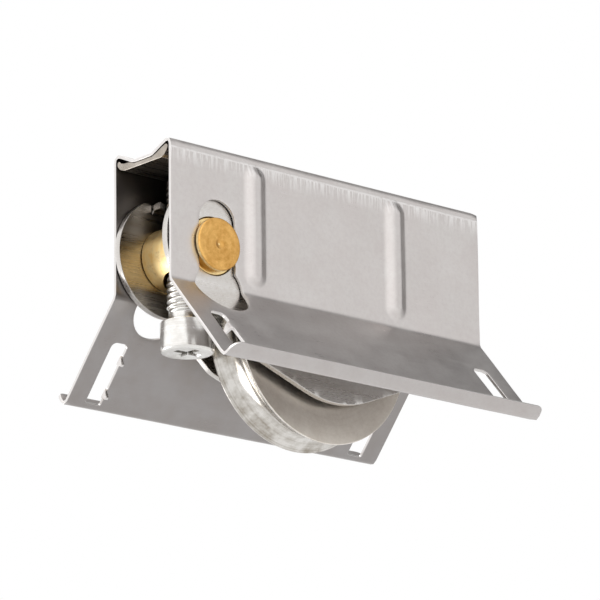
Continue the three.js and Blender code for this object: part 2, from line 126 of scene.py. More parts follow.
# Ball bearing
BALL_RADIUS, BALL_GAP = 1.4, 0.06
RACE_BORE, SPACER_BORE = 2.55, 2.56
OUTER_LAND, INNER_LAND, SHIELD_BORE = 6.6, 3.9, 4.1


# ---------------------------------------------------------------- outlines


def unit(vectors):
    return vectors / np.maximum(np.linalg.norm(vectors, axis=-1, keepdims=True), 1e-12)


def arc(centre, radius, start, end, steps):
    """Points on an arc, with angles in degrees."""
    angles = np.radians(np.linspace(start, end, steps))
    return np.array(centre) + radius * np.stack([np.cos(angles), np.sin(angles)], 1)


def circle(centre, radius, steps=72):
    return arc(centre, radius, 0, 360, steps + 1)[:-1]


def rounded(points, radius, steps=4, closed=True):
    """A polygon with its corners rounded; radius is one number or one for each corner."""
    points = np.array(points, float)
    radii = np.broadcast_to(radius, len(points))
    made = []
    for i, here in enumerate(points):
        if not closed and i in (0, len(points) - 1):
            made.append(here[None])
            continue
        before, after = points[i - 1], points[(i + 1) % len(points)]
        into, away = unit(here - before), unit(after - here)
        turn = math.acos(float(np.clip(into @ away, -1, 1)))
        room = 0.48 * min(np.linalg.norm(here - before), np.linalg.norm(after - here))
        back = min(radii[i] * math.tan(turn / 2), room)
        if back < 1e-4:
            made.append(here[None])
            continue
        t = np.linspace(0, 1, steps + 1)[:, None]
        start, end = here - into * back, here + away * back
        bulge = 0.5 / math.cos(turn / 2)  # weight that keeps the corner's curve close to round
        weight = 2 * bulge * t * (1 - t)
        made.append(((1 - t) ** 2 * start + weight * here + t**2 * end) / ((1 - t) ** 2 + weight + t**2))
    return np.vstack(made)


def resampled(loop, step):
    """The loop with points added so that none is further than step from the next."""
    made = []
    for here, after in zip(loop, np.roll(loop, -1, axis=0)):
        count = max(1, math.ceil(np.linalg.norm(after - here) / step))
        made.append(here + (after - here) * np.linspace(0, 1, count, endpoint=False)[:, None])
    return np.vstack(made)


def area(loop):
    x, y = loop.T
    return 0.5 * float(np.sum(x * np.roll(y, -1) - y * np.roll(x, -1)))


def inset(loop, distance):
    """The loop moved to its left."""
    into = unit(loop - np.roll(loop, 1, axis=0))
    away = unit(np.roll(loop, -1, axis=0) - loop)
    left_in, left_out = into[:, ::-1] * (-1, 1), away[:, ::-1] * (-1, 1)
    middle = unit(left_in + left_out)
    return loop + distance * middle / np.clip((middle * left_in).sum(1), 0.5, 1)[:, None]


def within(points, loops):
    """True for the points inside the outline and outside its holes."""
    x, y = points.T
    odd = np.zeros(len(points), bool)
    for loop in loops:
        for (x1, y1), (x2, y2) in zip(loop, np.roll(loop, -1, axis=0)):
            if y1 == y2:
                continue
            crosses = (y1 > y) != (y2 > y)
            odd ^= crosses & (x < (x2 - x1) * (y - y1) / (y2 - y1) + x1)
    return odd


def hull(points):
    """Counter-clockwise convex hull."""
    ordered = sorted(map(tuple, points))

    def half(items):
        chain = []
        for p in items:
            while len(chain) > 1:
                last_side, next_side = np.subtract(chain[-1], chain[-2]), np.subtract(p, chain[-1])
                if np.cross(last_side, next_side) > 1e-9:
                    break
                chain.pop()
            chain.append(p)
        return chain[:-1]

    return np.array(half(ordered) + half(ordered[::-1]))


# ---------------------------------------------------------------- meshes


def place(name, vertices, faces, matrix=None):
    """A new closed object from millimetre vertices, with its faces outwards."""
    mesh = bpy.data.meshes.new(name)
    mesh.from_pydata((np.array(vertices) * MM).tolist(), [], faces)
    work = bmesh.new()
    work.from_mesh(mesh)
    bmesh.ops.recalc_face_normals(work, faces=work.faces)
    work.to_mesh(mesh)
    work.free()
    made = bpy.data.objects.new(name, mesh)
    bpy.context.scene.collection.objects.link(made)
    if matrix is not None:
        made.matrix_world = matrix
    return made


def mark(made, name, values):
    """Gives every vertex a number that the materials can read."""
    attributes = made.data.attributes
    attribute = attributes.get(name) or attributes.new(name, "FLOAT", "POINT")
    attribute.data.foreach_set("value", np.broadcast_to(values, len(made.data.vertices)).astype(np.float32))


def plate(name, outer, holes, thickness, edge, fold=None, grid=None, edge_steps=3):
    """A sheet of even thickness with rounded cut edges, cut from a flat outline and then folded.

    fold takes rows of (u, v, height above the middle of the sheet) and gives places in space.
    Each vertex's distance from the nearest cut edge is kept as the attribute "edge", in millimetres,
    and the side the sheet is folded towards has the attribute "inner".
    """
    loops = [outer if area(outer) > 0 else outer[::-1]]
    loops += [hole[::-1] if area(hole) > 0 else hole for hole in holes]
    flat_loops = [inset(loop, edge) for loop in loops]
    points = [np.vstack(flat_loops)]
    if grid is not None:
        grid = grid[within(grid, flat_loops)]
        away = np.array([np.linalg.norm(points[0] - p, axis=1).min() for p in grid])
        points.append(grid[away > GRID_CLEAR])
    points = np.vstack(points)
    joins, first = [], 0
    for loop in flat_loops:
        count = len(loop)
        joins += [(first + i, first + (i + 1) % count) for i in range(count)]
        first += count
    made, _, triangles, sources, _, _ = delaunay_2d_cdt([Vector(p) for p in points], joins, [], 0, 1e-6)
    made = np.array(made)
    kept_as = {source: i for i, group in enumerate(sources) for source in group}
    triangles = np.array([t for t in triangles if len(t) == 3])
    triangles = triangles[within(made[triangles].mean(1), flat_loops)]
    count = len(made)
    half = thickness / 2
    flat = [np.column_stack([made, np.full(count, half)]), np.column_stack([made, np.full(count, -half)])]
    faces = [tuple(t) for t in triangles] + [tuple(t[::-1] + count) for t in triangles]
    total, first = 2 * count, 0
    for loop in loops:
        size = len(loop)
        rim = [[kept_as[first + i] for i in range(size)]]
        turn = np.linspace(0, math.pi / 2, edge_steps + 1)[1:]
        levels = [(edge * (1 - math.sin(a)), half - edge * (1 - math.cos(a))) for a in turn]
        for distance, height in levels + [(d, -h) for d, h in levels[::-1]]:
            flat.append(np.column_stack([inset(loop, distance), np.full(size, height)]))
            rim.append(list(range(total, total + size)))
            total += size
        rim.append([kept_as[first + i] + count for i in range(size)])
        for upper, lower in zip(rim, rim[1:]):
            for i in range(size):
                j = (i + 1) % size
                faces.append((upper[i], lower[i], lower[j], upper[j]))
        first += size
    flat = np.vstack(flat)
    made = place(name, fold(flat) if fold else flat, faces)
    outline_points = np.vstack(loops)
    distance = np.array([np.linalg.norm(outline_points - p, axis=1).min() for p in flat[:, :2]])
    mark(made, "edge", distance)
    mark(made, "inner", flat[:, 2] < 0)
    return made


def swept(name, rings, matrix, closed=False):
    """A surface through rings of points, capped by a point at each end or closed on itself."""
    vertices, faces, size = [], [], len(rings[0])
    for ring in rings:
        vertices.extend(ring)
    for k in range(len(rings) - (0 if closed else 1)):
        a, b = k * size, ((k + 1) % len(rings)) * size
        for i in range(size):
            j = (i + 1) % size
            faces.append((a + i, a + j, b + j, b + i))
    if not closed:
        for start, ring in ((0, rings[0]), ((len(rings) - 1) * size, rings[-1])):
            vertices.append(np.mean(ring, axis=0))
            middle = len(vertices) - 1
            faces += [(middle, start + i, start + (i + 1) % size) for i in range(size)]
    return place(name, vertices, faces, matrix)


def turned(name, profile, matrix, segments=96, closed=False, reach=None):
    """A profile of (radius, height) turned about local Z.

    reach(radius, height, angles) may vary the radius round the axis.
    """
    angles = np.linspace(0, 2 * math.pi, segments, endpoint=False)
    rings = []
    for radius, height in profile:
        r = np.full(segments, max(radius, NEAR_AXIS)) if reach is None else reach(radius, height, angles)
        rings.append(np.column_stack([r * np.cos(angles), r * np.sin(angles), np.full(segments, height)]))
    return swept(name, rings, matrix, closed)


def along_y(x, z, y=0.0):
    """Local Z turned onto the row frame's Y axis, at a point given in millimetres."""
    return Matrix.Translation(Vector((x, y, z)) * MM) @ Matrix.Rotation(-math.pi / 2, 4, "X")


def along_z(x, y=0.0, z=0.0):
    return Matrix.Translation(Vector((x, y, z)) * MM)


def cut_away(target, tool):
    """Subtracts tool from target for good, and removes tool."""
    modifier = target.modifiers.new("cut", "BOOLEAN")
    modifier.operation, modifier.solver, modifier.object = "DIFFERENCE", "EXACT", tool
    bpy.context.view_layer.update()
    evaluated = target.evaluated_get(bpy.context.evaluated_depsgraph_get())
    mesh = bpy.data.meshes.new_from_object(evaluated)
    target.modifiers.clear()
    target.data = mesh
    bpy.data.objects.remove(tool)


def finish_piece(made, material, body, nodes, sharp=38):
    """Smooth shading that keeps flat faces flat, and the piece's place in the frame."""
    made.data.materials.clear()
    made.data.materials.append(material)
    made.data.polygons.foreach_set("use_smooth", [True] * len(made.data.polygons))
    made.data.set_sharp_from_angle(angle=math.radians(sharp))
    weighted = made.modifiers.new("flat faces", "WEIGHTED_NORMAL")
    weighted.keep_sharp = True
    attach(made, body)
    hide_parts(*nodes)
    return made


# ---------------------------------------------------------------- materials


class Nodes:
    """A node tree, with short ways to add and join its nodes."""

    def __init__(self, tree):
        self.tree = tree

    def add(self, kind, inputs=(), **settings):
        made = self.tree.nodes.new("ShaderNode" + kind)
        for key, value in settings.items():
            setattr(made, key, value)
        for key, value in dict(inputs).items():
            if isinstance(value, bpy.types.NodeSocket):
                self.tree.links.new(value, made.inputs[key])
            else:
                made.inputs[key].default_value = value
        return made

    def math(self, operation, a, b=0.0):
        return self.add("Math", {0: a, 1: b}, operation=operation).outputs[0]

    def range(self, value, low, high, to_low=0.0, to_high=1.0):
        keys = {"Value": value, "From Min": low, "From Max": high, "To Min": to_low, "To Max": to_high}
        return self.add("MapRange", keys).outputs["Result"]


class Shader(Nodes):
    """A metal's material."""

    def __init__(self, name, **sockets):
        self.material = bpy.data.materials.new(name)
        self.material.use_nodes = True
        super().__init__(self.material.node_tree)
        self.bsdf = self.tree.nodes["Principled BSDF"]
        for key, value in sockets.items():
            self.bsdf.inputs[key.replace("_", " ")].default_value = value

    def place(self, scale):
        """Object coordinates, scaled to features per millimetre along each axis."""
        source = self.add("TexCoord").outputs["Object"]
        return self.add("Mapping", {"Vector": source, "Scale": [s / MM for s in scale]}).outputs["Vector"]

    def noise(self, scale, detail=3.0, roughness=0.55, vector=None):
        where = vector or self.place(scale)
        settings = {"Vector": where, "Scale": 1.0, "Detail": detail, "Roughness": roughness}
        return self.add("TexNoise", settings).outputs["Fac"]

    def rings(self, per_mm, wobble=0.0):
        """Turning marks: noise that depends on the distance from the local Z axis and the height."""
        where = self.place((1, 1, 1))
        parts = self.add("SeparateXYZ", {0: where})
        flat = self.add("CombineXYZ", {0: parts.outputs[0], 1: parts.outputs[1]})
        radius = self.add("VectorMath", {0: flat.outputs[0]}, operation="LENGTH").outputs["Value"]
        if wobble:
            radius = self.math("ADD", radius, self.math("MULTIPLY", self.noise((0.25,) * 3, 2), wobble))
        where = self.add("CombineXYZ", {
            0: self.math("MULTIPLY", radius, per_mm),
            1: self.math("MULTIPLY", parts.outputs[2], per_mm),
        })
        return self.noise(None, 4.0, 0.65, where.outputs[0])

    def mix(self, factor, a, b):
        made = self.add("Mix", data_type="RGBA")
        for socket, value in ((made.inputs[0], factor), (made.inputs[6], a), (made.inputs[7], b)):
            if isinstance(value, bpy.types.NodeSocket):
                self.tree.links.new(value, socket)
            else:
                socket.default_value = value
        return made.outputs[2]

    def attribute(self, name):
        return self.add("Attribute", attribute_name=name).outputs["Fac"]

    def open_air(self, reach, low, high):
        """Ambient occlusion for painted shade: 0 deep in a recess and 1 in the open; reach is in millimetres.
        """
        seen = self.add("AmbientOcclusion", {"Distance": reach * MM}, samples=6).outputs["AO"]
        return self.range(seen, low, high)

    def set(self, socket, value):
        self.tree.links.new(value, self.bsdf.inputs[socket])

    def bump(self, *layers):
        """Layers of (height, strength, depth in millimetres), one over another."""
        normal = None
        for height, strength, depth in layers:
            keys = {"Height": height, "Strength": strength, "Distance": depth * MM}
            if normal is not None:
                keys["Normal"] = normal
            normal = self.add("Bump", keys).outputs["Normal"]
        self.set("Normal", normal)


def rgba(r, g, b):
    return (r, g, b, 1.0)


def sheet_steel():
    """Cold-rolled stainless sheet: rolling grain along X, blotches, scratches from bending, cut edges, and
    painted shade on the inner side that is darkest in recesses.
    """
    s = Shader("stainless_sheet", Metallic=1.0)
    grain = s.noise((0.12, 5.0, 5.0), 5)
    blotch = s.noise((0.16, 0.16, 0.16), 4)
    speckle = s.noise((1.5, 1.5, 1.5), 4, 0.7)
    streak = s.noise((2.3, 0.3, 0.16), 4, 0.75)
    below = s.attribute("below_ridge")
    comb = s.math("MULTIPLY", s.range(below, 1.6, 1.9), s.range(below, 2.0, 4.6, 1.0, 0.0))
    scraped = s.math("MULTIPLY", comb, s.range(streak, 0.46, 0.57))
    line = s.math("MULTIPLY", s.range(below, 1.45, 1.65), s.range(below, 1.75, 1.95, 1.0, 0.0))
    scraped = s.math("MAXIMUM", scraped, s.math("MULTIPLY", line, s.range(speckle, 0.3, 0.5)))
    colour = s.mix(s.range(blotch, 0.35, 0.65), rgba(0.605, 0.568, 0.552), rgba(0.64, 0.612, 0.595))
    colour = s.mix(s.math("MULTIPLY", s.range(speckle, 0.42, 0.7), 0.4), colour, rgba(0.53, 0.485, 0.475))
    colour = s.mix(s.math("MULTIPLY", scraped, 0.8), colour, rgba(0.86, 0.84, 0.83))
    inner = s.attribute("inner")
    # Painted shade: the inner side is the same steel painted darker.
    painted_inner_shade = s.mix(s.range(blotch, 0.35, 0.65), rgba(0.27, 0.25, 0.24), rgba(0.3, 0.285, 0.28))
    colour = s.mix(inner, colour, painted_inner_shade)
    # Painted shade: inner faces deep in recesses are painted nearly black.
    painted_recess_shade = s.math("MULTIPLY", s.math("SUBTRACT", 1.0, s.open_air(15, 0.1, 0.66)), inner)
    colour = s.mix(painted_recess_shade, colour, rgba(0.1, 0.083, 0.066))
    colour = s.mix(s.range(s.attribute("edge"), 0.0, 0.12, 0.85, 0.0), colour, rgba(0.62, 0.6, 0.585))
    s.set("Base Color", colour)
    rough = s.math("ADD", s.range(grain, 0.3, 0.7, 0.28, 0.38), s.range(blotch, 0.3, 0.7, -0.03, 0.05))
    s.set("Roughness", s.math("ADD", rough, s.math("MULTIPLY", scraped, 0.12)))
    s.bump((grain, 0.22, 0.012), (speckle, 0.22, 0.02), (line, 0.3, 0.05))
    return s.material


def plate_steel():
    """Smooth stamped plate with polishing bands along it, brighter sheared edges and painted shade on its
    inner side.
    """
    s = Shader("bracket_steel", Metallic=1.0)
    lines = s.noise((0.05, 5.0, 2.4), 4)
    bands = s.noise((0.03, 0.3, 0.3), 3)
    speckle = s.noise((1.3, 1.3, 1.3), 4, 0.7)
    colour = s.mix(s.range(bands, 0.35, 0.65), rgba(0.62, 0.59, 0.56), rgba(0.72, 0.7, 0.68))
    # Painted shade: the inner side is the same steel painted darker.
    painted_inner_shade = s.mix(s.range(bands, 0.35, 0.65), rgba(0.27, 0.24, 0.205), rgba(0.4, 0.365, 0.325))
    colour = s.mix(s.attribute("inner"), colour, painted_inner_shade)
    stained = s.math("MULTIPLY", s.range(speckle, 0.45, 0.75), 0.3)
    colour = s.mix(stained, colour, rgba(0.4, 0.34, 0.28))
    colour = s.mix(s.range(s.attribute("edge"), 0.0, 0.14, 0.8, 0.0), colour, rgba(0.5, 0.48, 0.46))
    s.set("Base Color", colour)
    s.set("Roughness", s.range(lines, 0.3, 0.7, 0.24, 0.34))
    s.bump((lines, 0.06, 0.01))
    return s.material


def turned_metal(name, dark, light, rough, ring_scale, ring_bump, stain=None, face=None, recess=None):
    """Metal with turning marks about local Z, and stains if it has any.

    face is for end faces of another colour: height from the middle in millimetres, dark, light and
    added roughness. recess is the reach, in millimetres, over which grooves and holes get painted shade.
    """
    s = Shader(name, Metallic=1.0, Anisotropic=0.3)
    s.set("Tangent", s.add("Tangent", direction_type="RADIAL", axis="Z").outputs[0])
    rings = s.rings(ring_scale, 0.25)
    blotch = s.noise((0.35, 0.35, 0.35), 4, 0.6)
    fine = s.noise((1.6, 1.6, 1.6), 4, 0.7)
    worn = s.math("ADD", s.math("MULTIPLY", rings, 0.35), s.math("MULTIPLY", blotch, 0.65))
    worn = s.range(worn, 0.4, 0.6)
    colour = s.mix(worn, dark, light)
    if stain:
        spots = s.math("MULTIPLY", s.range(blotch, 0.5, 0.66), s.range(fine, 0.35, 0.65))
        colour = s.mix(s.math("MULTIPLY", spots, 0.6), colour, stain)
    polish = s.range(rings, 0.3, 0.7, rough, rough + 0.07)
    polish = s.math("ADD", polish, s.range(fine, 0.3, 0.7, -0.02, 0.05))
    if face:
        height, face_dark, face_light, extra = face
        parts = s.add("SeparateXYZ", {0: s.place((1, 1, 1))})
        beyond = s.range(s.math("ABSOLUTE", parts.outputs[2]), height - 0.08, height)
        speckle = s.range(fine, 0.3, 0.7)
        mottled = s.math("ADD", s.math("MULTIPLY", worn, 0.5), s.math("MULTIPLY", speckle, 0.5))
        colour = s.mix(beyond, colour, s.mix(mottled, face_dark, face_light))
        polish = s.math("ADD", polish, s.math("MULTIPLY", beyond, extra))
    if recess:
        # Painted shade: grooves and holes are painted dark.
        colour = s.mix(s.open_air(recess, 0.25, 0.8), rgba(0.06, 0.05, 0.04), colour)
    s.set("Base Color", colour)
    s.set("Roughness", polish)
    s.bump((rings, ring_bump, 0.015), (fine, 0.1, 0.01))
    return s.material


STEEL_SHEET = sheet_steel()
STEEL_PLATE = plate_steel()
# The side faces are painted lighter than the groove: partly their faced finish, partly painted light standing
# in for the light they reflect.
STEEL_WHEEL = turned_metal(
    "turned_steel", rgba(0.3, 0.27, 0.23), rgba(0.62, 0.6, 0.57), 0.1, 2.2, 0.08,
    face=(4.05, rgba(0.66, 0.6, 0.53), rgba(0.8, 0.75, 0.68), 0.2),
)
STEEL_SCREW = turned_metal(
    "bright_screw", rgba(0.6, 0.58, 0.55), rgba(0.76, 0.75, 0.73), 0.18, 2.0, 0.05, recess=2.0,
)
STEEL_RIVET = turned_metal("rivet_steel", rgba(0.6, 0.59, 0.57), rgba(0.7, 0.69, 0.67), 0.25, 3.0, 0.1)
STEEL_BEARING = turned_metal("bearing_steel", rgba(0.66, 0.65, 0.63), rgba(0.74, 0.73, 0.71), 0.1, 4.0, 0.05)
CAGE_METAL = turned_metal("cage_steel", rgba(0.5, 0.4, 0.24), rgba(0.6, 0.48, 0.3), 0.3, 3.0, 0.1)
BRASS = turned_metal(
    "brass", rgba(0.9, 0.6, 0.22), rgba(1.0, 0.82, 0.45), 0.3, 1.2, 0.06, rgba(0.42, 0.2, 0.05),
    (8.45, rgba(0.5, 0.24, 0.05), rgba(0.86, 0.52, 0.17), 0.05),
)


# ---------------------------------------------------------------- folding


class Fold:
    """Half of a folded section: a path of (y, z, bend radius) corners out from the centre plane."""

    def __init__(self, corners):
        self.parts, self.starts = [], []
        here, length = np.array(corners[0][:2], float), 0.0
        for i in range(1, len(corners)):
            corner = np.array(corners[i][:2], float)
            into = unit(corner - np.array(corners[i - 1][:2], float))
            radius = corners[i][2] if i < len(corners) - 1 else 0.0
            turn, back = 0.0, 0.0
            if radius:
                away = unit(np.array(corners[i + 1][:2], float) - corner)
                turn = math.atan2(into[0] * away[1] - into[1] * away[0], float(into @ away))
                back = radius * math.tan(abs(turn) / 2)
            end = corner - into * back
            straight = float(np.linalg.norm(end - here))
            self.parts.append((length, length + straight, here, into, 0.0))
            length += straight
            self.starts.append((length - straight, length))
            if radius:
                bent = radius * abs(turn)
                self.parts.append((length, length + bent, end, into, math.copysign(1 / radius, turn)))
                length += bent
                here = corner + away * back
        self.length = length

    def at(self, s):
        """Points (y, z) and left-hand normals at distances s, for both signs of s."""
        side, distance = np.sign(s) + (s == 0), np.abs(s)
        point, normal = np.zeros((len(s), 2)), np.zeros((len(s), 2))
        for k, (start, end, origin, heading, curve) in enumerate(self.parts):
            last = k == len(self.parts) - 1
            chosen = (distance >= start - 1e-9) & ((distance < end) | last)
            along = distance[chosen] - start
            left = np.array([-heading[1], heading[0]])
            if curve:
                turn = along * curve
                bent = np.outer(np.sin(turn), heading) + np.outer(1 - np.cos(turn), left)
                point[chosen] = origin + bent / curve
                normal[chosen] = np.outer(np.cos(turn), left) - np.outer(np.sin(turn), heading)
            else:
                point[chosen] = origin + np.outer(along, heading)
                normal[chosen] = left
        point[:, 0] *= side
        normal[:, 0] *= side
        return point, normal

    def straight(self, number):
        """The straight part of that number: where it starts and ends along the path."""
        return self.starts[number]

    def stations(self, flat_step, bend_step):
        """Distances at which the sheet is divided, closer together in the bends."""
        marks = []
        for start, end, _, _, curve in self.parts:
            step = bend_step / abs(curve) if curve else flat_step
            marks.append(np.linspace(start, end, max(2, math.ceil((end - start) / step) + 1)))
        return np.unique(np.round(np.concatenate(marks), 4))


def smooth(value):
    value = np.clip(value, 0, 1)
    return value * value * (3 - 2 * value)


# ---------------------------------------------------------------- housing


def build_housing():
    ridge_z = -SHEET / 2 + RIDGE_SLOPE * (WALL_MID - TROUGH_HALF)
    lip_y = WALL_MID + WING_LENGTH * math.sin(WING_ANGLE)
    lip_z = FOLD_Z - WING_LENGTH * math.cos(WING_ANGLE)
    section = Fold([
        (0, -SHEET / 2), (TROUGH_HALF, -SHEET / 2, TROUGH_BEND), (WALL_MID, ridge_z, RIDGE_BEND),
        (WALL_MID, FOLD_Z, WING_BEND), (lip_y, lip_z, LIP_BEND), (lip_y + LIP_ACROSS, lip_z + LIP_UP),
    ])
    wall_start, wall_end = section.straight(2)
    wing_start, _ = section.straight(3)
    fold_back = WING_BEND * math.tan(WING_ANGLE / 2)
    on_wall = lambda z: wall_end + (FOLD_Z + fold_back - z)
    on_wing = lambda distance: wing_start + distance - fold_back

    def barb_bend(x, s, height):
        """Points inside a fixing slot are on a barb, turned in from the slot's inner edge."""
        edge = WING_SLOT_X - WING_SLOT_WIDTH / 2
        past = np.abs(x) - edge
        down = np.abs(s)
        on_barb = (past > 0) & (past < WING_SLOT_WIDTH - 0.3) & (down > on_wing(WING_SLOT_SPAN[0] + 0.3))
        on_barb &= down < on_wing(WING_SLOT_SPAN[1] - 0.3)
        turn = np.minimum(past / BARB_BEND, math.radians(84))
        beyond = past - turn * BARB_BEND
        across = BARB_BEND * np.sin(turn) + beyond * np.cos(turn) + height * np.sin(turn)
        lift = -BARB_BEND * (1 - np.cos(turn)) - beyond * np.sin(turn) + height * np.cos(turn)
        new_x = np.where(on_barb, np.sign(x) * (edge + across), x)
        return new_x, np.where(on_barb, lift, height)

    def rib_lift(x, down):
        lift = np.zeros(len(x))
        top, bottom = on_wall(RIB_TOP) + RIB_HALF_WIDTH, on_wall(RIB_BOTTOM) - RIB_HALF_WIDTH
        for rib_x in RIB_X:
            past_end = np.maximum(np.maximum(top - down, down - bottom), 0)
            from_side = RIB_HALF_WIDTH - np.hypot(x - rib_x, past_end)
            lift += RIB_HEIGHT * smooth(from_side / RIB_SLOPE)
        return lift

    def fold(flat):
        x, s, height = flat.T
        x, height = barb_bend(x, s, height)
        point, normal = section.at(s)
        down = np.abs(s)
        wave = 0.025 * np.sin(0.21 * x + 0.35 * s) + 0.018 * np.sin(0.47 * x - 0.23 * s + 1.3)
        calm = smooth((section.length - down) / 6)
        lift = height + rib_lift(x, down) + wave * calm * (down > wall_start)
        placed = point + normal * lift[:, None]
        return np.column_stack([x, placed])

    def keyhole(side):
        top = arc((SLOT_X, 0), SLOT_RADIUS, 0, 180, 25)
        top[:, 1] = on_wall(SLOT_TOP) + SLOT_RADIUS - top[:, 1]
        right = math.degrees(math.acos((SLOT_X + SLOT_RADIUS - KEYHOLE_X) / KEYHOLE_RADIUS))
        left = math.degrees(math.acos((SLOT_X - SLOT_RADIUS - KEYHOLE_X) / KEYHOLE_RADIUS))
        end = arc((KEYHOLE_X, 0), KEYHOLE_RADIUS, left, 360 + right, 49)
        end[:, 1] = on_wing(KEYHOLE_DROP) - end[:, 1]
        loop = resampled(np.vstack([top, end]), 0.5)
        return loop * (1, side)

    def fixing_slot(end, side):
        half = WING_SLOT_WIDTH / 2
        inner, outer = WING_SLOT_X - half, WING_SLOT_X + half
        first, last = on_wing(WING_SLOT_SPAN[0]), on_wing(WING_SLOT_SPAN[1])
        corners = [(inner, first), (outer, first), (outer, last), (inner, last)]
        radii = [1.0, 1.0, 0.25, 0.25]
        for at in sorted(map(on_wing, BARB_PLACES), reverse=True) if end < 0 else ():
            corners += [(inner, at + BARB_FOOT / 2), (inner + BARB_REACH, at + BARB_FOOT / 4)]
            corners += [(inner + BARB_REACH, at), (inner, at - BARB_FOOT / 2)]
            radii += [0.12, 0.15, 0.15, 0.12]
        loop = resampled(rounded(corners, radii), 0.35)
        return loop * (end, side)

    half, length = LENGTH / 2, section.length
    large, small = LIP_CORNERS["large"], LIP_CORNERS["small"]
    corners = [(-half, -length), (half, -length), (half, length), (-half, length)]
    outer = resampled(rounded(corners, [large, small, large, small], 8), 0.8)
    holes = [keyhole(side) for side in (-1, 1)]
    holes += [fixing_slot(end, side) for end in (-1, 1) for side in (-1, 1)]
    across = [np.linspace(-half, half, 52)]
    for rib_x in RIB_X:
        reach = RIB_HALF_WIDTH + 0.3
        across.append(np.linspace(rib_x - reach, rib_x + reach, 25))
    across = np.unique(np.round(np.concatenate(across), 2))
    rib_top, rib_bottom = on_wall(RIB_TOP), on_wall(RIB_BOTTOM)
    ends = [np.linspace(rib_top - 0.4, rib_top + RIB_HALF_WIDTH, 11)]
    ends += [np.linspace(rib_bottom - RIB_HALF_WIDTH, rib_bottom + 0.4, 11)]
    down = np.unique(np.round(np.concatenate([section.stations(1.4, 0.16), *ends]), 3))
    down = np.concatenate([-down[::-1], down[down > 0]])
    grid = np.stack(np.meshgrid(across, down), -1).reshape(-1, 2)
    made = plate("housing_sheet", outer, holes, SHEET, CUT_EDGE, fold, grid)
    z = np.array([v.co.z for v in made.data.vertices]) / MM
    y = np.abs([v.co.y for v in made.data.vertices]) / MM
    inner = np.zeros(len(z), np.float32)
    made.data.attributes["inner"].data.foreach_get("value", inner)
    # Painted shade: the lip's inner face takes only part of the painted inner shade.
    lip_shade_share = 0.45
    mark(made, "inner", inner * (lip_shade_share + (1 - lip_shade_share) * smooth((lip_y + 0.1 - y) / 0.5)))
    mark(made, "below_ridge", HOUSING_HIGH[2] - z)
    return finish_piece(made, STEEL_SHEET, "root", ["housing"])


# ---------------------------------------------------------------- bracket, arm and pins


def turned_piece(name, profile, matrix, material, body, slot, nodes=None, **options):
    made = turned(name, profile, matrix, **options)
    return finish_piece(made, material, body, nodes or [name])


def build_saddle():
    outline = rounded([
        (-4.9, SADDLE_BOTTOM), (4.9, SADDLE_BOTTOM), (6.1, -1.0), (6.8, -0.35), (6.95, 0.3),
        (6.5, 0.7), (6.0, 0.2), (5.2, -0.05), (3.6, -0.15), (2.4, -0.6), (-2.4, -0.6),
        (-3.7, -0.15), (-5.0, 0.45), (-5.9, 0.8), (-6.4, 0.7), (-6.55, 0.2), (-6.2, -0.4), (-5.6, -1.0),
    ], 0.4, 3)
    lengthways = lambda flat: flat[:, [2, 0, 1]]
    plate_top = plate("saddle_plate", outline, [], LENGTH - 0.3, 0.1, lengthways)
    mark(plate_top, "edge", 1)
    # Painted shade: the whole saddle takes the painted inner shade.
    mark(plate_top, "inner", 1)
    finish_piece(plate_top, STEEL_PLATE, "root", ["saddle_bracket"])
    around = circle(PIVOT[[0, 2]], EAR_RADIUS, 48)
    top = [(PIVOT[0] - 6, SADDLE_BOTTOM + 0.1), (PIVOT[0] + 5, SADDLE_BOTTOM + 0.1)]
    ear = resampled(rounded(hull(np.vstack([around, top])), 0.3), 1.5)
    hole = circle(PIVOT[[0, 2]], 2.02, 48)
    middle = PLATE_MID - PLATE / 2 - EAR_GAP - EAR_THICKNESS / 2
    for name, side in (("ear_front", -1), ("ear_back", 1)):

        def upright(flat, side=side):
            x, z, height = flat.T
            return np.column_stack([x, height + side * middle, z])

        made = plate(name, ear, [hole], EAR_THICKNESS, 0.15, upright)
        finish_piece(made, STEEL_PLATE, "root", ["saddle_bracket"])


def arm_edge(bend_start):
    """One arm plate's edge as (x, z), clockwise from the back end of the web to its front end."""
    wrapped = np.vstack([circle((x, z), radius, 96) for x, z, radius in ARM_CIRCLES])
    wrapped[:, 1] = np.minimum(wrapped[:, 1], ARM_TOP)
    body = resampled(hull(wrapped), 0.6)
    lobe = circle(LOBE_CENTRE, LOBE_RADIUS, 132)
    lobe[:, 1] = np.minimum(lobe[:, 1], ARM_TOP)
    edge = np.vstack([body[~within(body, [lobe])], lobe[~within(lobe, [body])]])
    front, back = WEB_SPAN[0] - RELIEF, WEB_SPAN[1] + RELIEF
    edge = edge[(edge[:, 0] < front) | (edge[:, 0] > back) | (edge[:, 1] < bend_start)]
    middle = np.array([0.0, -18.0])
    to_web = np.array([sum(WEB_SPAN) / 2, ARM_TOP]) - middle
    angle = np.arctan2(*(edge - middle).T[::-1])
    edge = edge[np.argsort(np.mod(math.atan2(to_web[1], to_web[0]) - angle, 2 * math.pi))]
    slit = bend_start - 0.1
    return np.vstack([
        [(WEB_SPAN[1], slit), (back, slit), (back, ARM_TOP)], edge,
        [(front, ARM_TOP), (front, slit), (WEB_SPAN[0], slit)],
    ])


